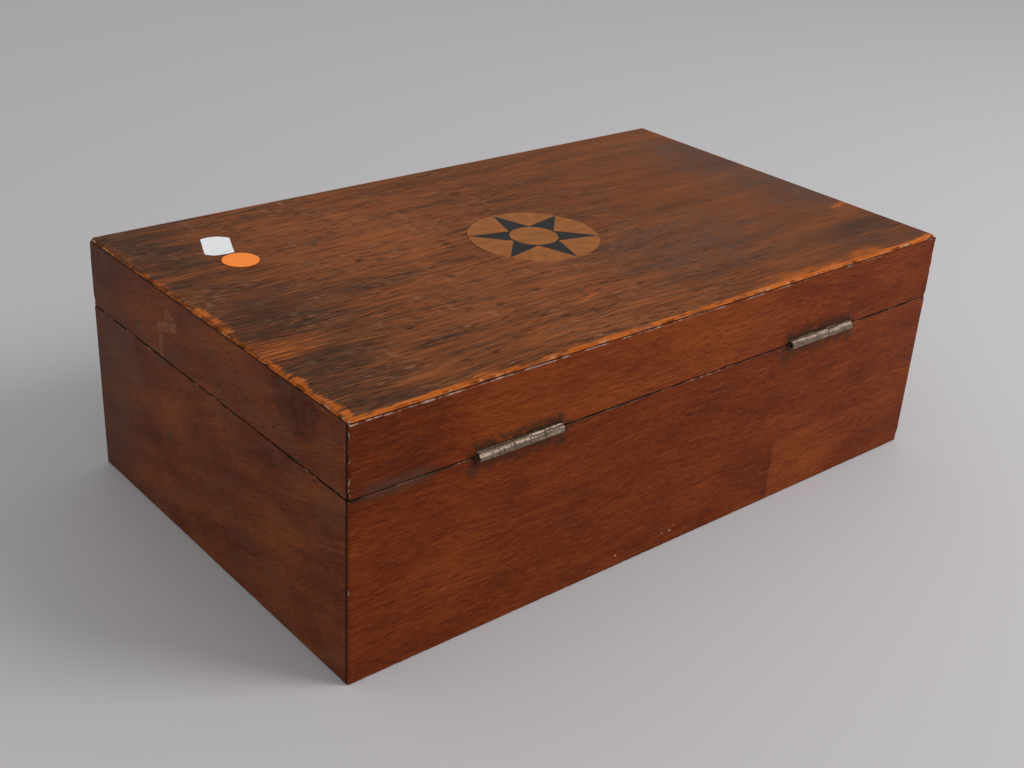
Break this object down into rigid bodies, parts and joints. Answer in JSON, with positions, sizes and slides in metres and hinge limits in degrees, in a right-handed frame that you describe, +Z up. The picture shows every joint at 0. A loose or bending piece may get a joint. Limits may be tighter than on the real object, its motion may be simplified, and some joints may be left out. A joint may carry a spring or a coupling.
{
  "type": "inlaid wooden box",
  "caption": "Low rectangular veneered wooden box with a hinged flat lid, a round star inlay in the middle of the lid, butt hinges with proud barrels and a small inset lock.",
  "frame": {"origin": "middle of the underside, in the plane that the box rests on", "axes": "+X along the length, to the right seen from the front; -Y is the front with the keyhole; +Y is the hinge side; +Z up"},
  "size_m": [0.3, 0.1826, 0.1],
  "materials": {
    "top_veneer": "old worn french polish over dark open-grained veneer",
    "side_veneer": "old worn satin polish over reddish mahogany veneer",
    "carcass_wood": "bare sawn softwood, darkened by age",
    "bottom_wood": "bare planed softwood, darkened by age",
    "pale_inlay": "polished orange-brown satinwood",
    "mid_inlay": "polished orange-brown satinwood, cut across",
    "dark_inlay": "polished ebonised wood",
    "hinge_sheet": "dulled worn sheet metal",
    "hinge_pin_steel": "dark drawn wire",
    "steel_screws": "dulled steel",
    "iron_brads": "rust-browned iron",
    "lock_brass": "dulled brass",
    "lock_steel": "filed steel",
    "label_paper": "thin uncoated paper label",
    "sticker_paper": "thin fluorescent orange paper disc"
  },
  "bodies": {
    "case": {"bottom_brads": "iron_brads", "case_back_board": "carcass_wood", "case_back_veneer": "side_veneer", "case_bottom_board": "bottom_wood", "case_front_board": "carcass_wood", "case_front_veneer": "side_veneer", "case_left_board": "carcass_wood", "case_left_veneer": "side_veneer", "case_right_board": "carcass_wood", "case_right_veneer": "side_veneer", "keyhole_escutcheon": "lock_brass", "left_hinge_case_leaf": "hinge_sheet", "left_hinge_case_screws": "steel_screws", "left_hinge_pin": "hinge_pin_steel", "lock_cap": "lock_brass", "lock_plate": "lock_brass", "lock_screws": "steel_screws", "right_hinge_case_leaf": "hinge_sheet", "right_hinge_case_screws": "steel_screws", "right_hinge_pin": "hinge_pin_steel"},
    "lid": {"left_hinge_lid_leaf": "hinge_sheet", "left_hinge_lid_screws": "steel_screws", "lid_back_board": "carcass_wood", "lid_back_veneer": "side_veneer", "lid_front_board": "carcass_wood", "lid_front_veneer": "side_veneer", "lid_left_board": "carcass_wood", "lid_left_veneer": "side_veneer", "lid_right_board": "carcass_wood", "lid_right_veneer": "side_veneer", "lid_top_board": "carcass_wood", "lid_top_veneer": "top_veneer", "link_plate": "lock_brass", "link_plate_screws": "steel_screws", "right_hinge_lid_leaf": "hinge_sheet", "right_hinge_lid_screws": "steel_screws", "star_centre": "mid_inlay", "star_field_1": "pale_inlay", "star_field_2": "pale_inlay", "star_field_3": "pale_inlay", "star_field_4": "pale_inlay", "star_field_5": "pale_inlay", "star_field_6": "pale_inlay", "star_point_1": "dark_inlay", "star_point_2": "dark_inlay", "star_point_3": "dark_inlay", "star_point_4": "dark_inlay", "star_point_5": "dark_inlay", "star_point_6": "dark_inlay"},
    "bolt": {"lock_bolt": "lock_steel"}
  },
  "joints": [
    {"name": "lid_hinge", "type": "hinge", "parent": "case", "child": "lid", "pos_m": [0, 0.0906, 0.0716], "axis": [-1, 0, 0], "range_deg": [0, 180]},
    {"name": "lock_bolt_slide", "type": "slide", "parent": "case", "child": "bolt", "axis": [1, 0, 0], "range_m": [0, 0.004]}
  ]
}
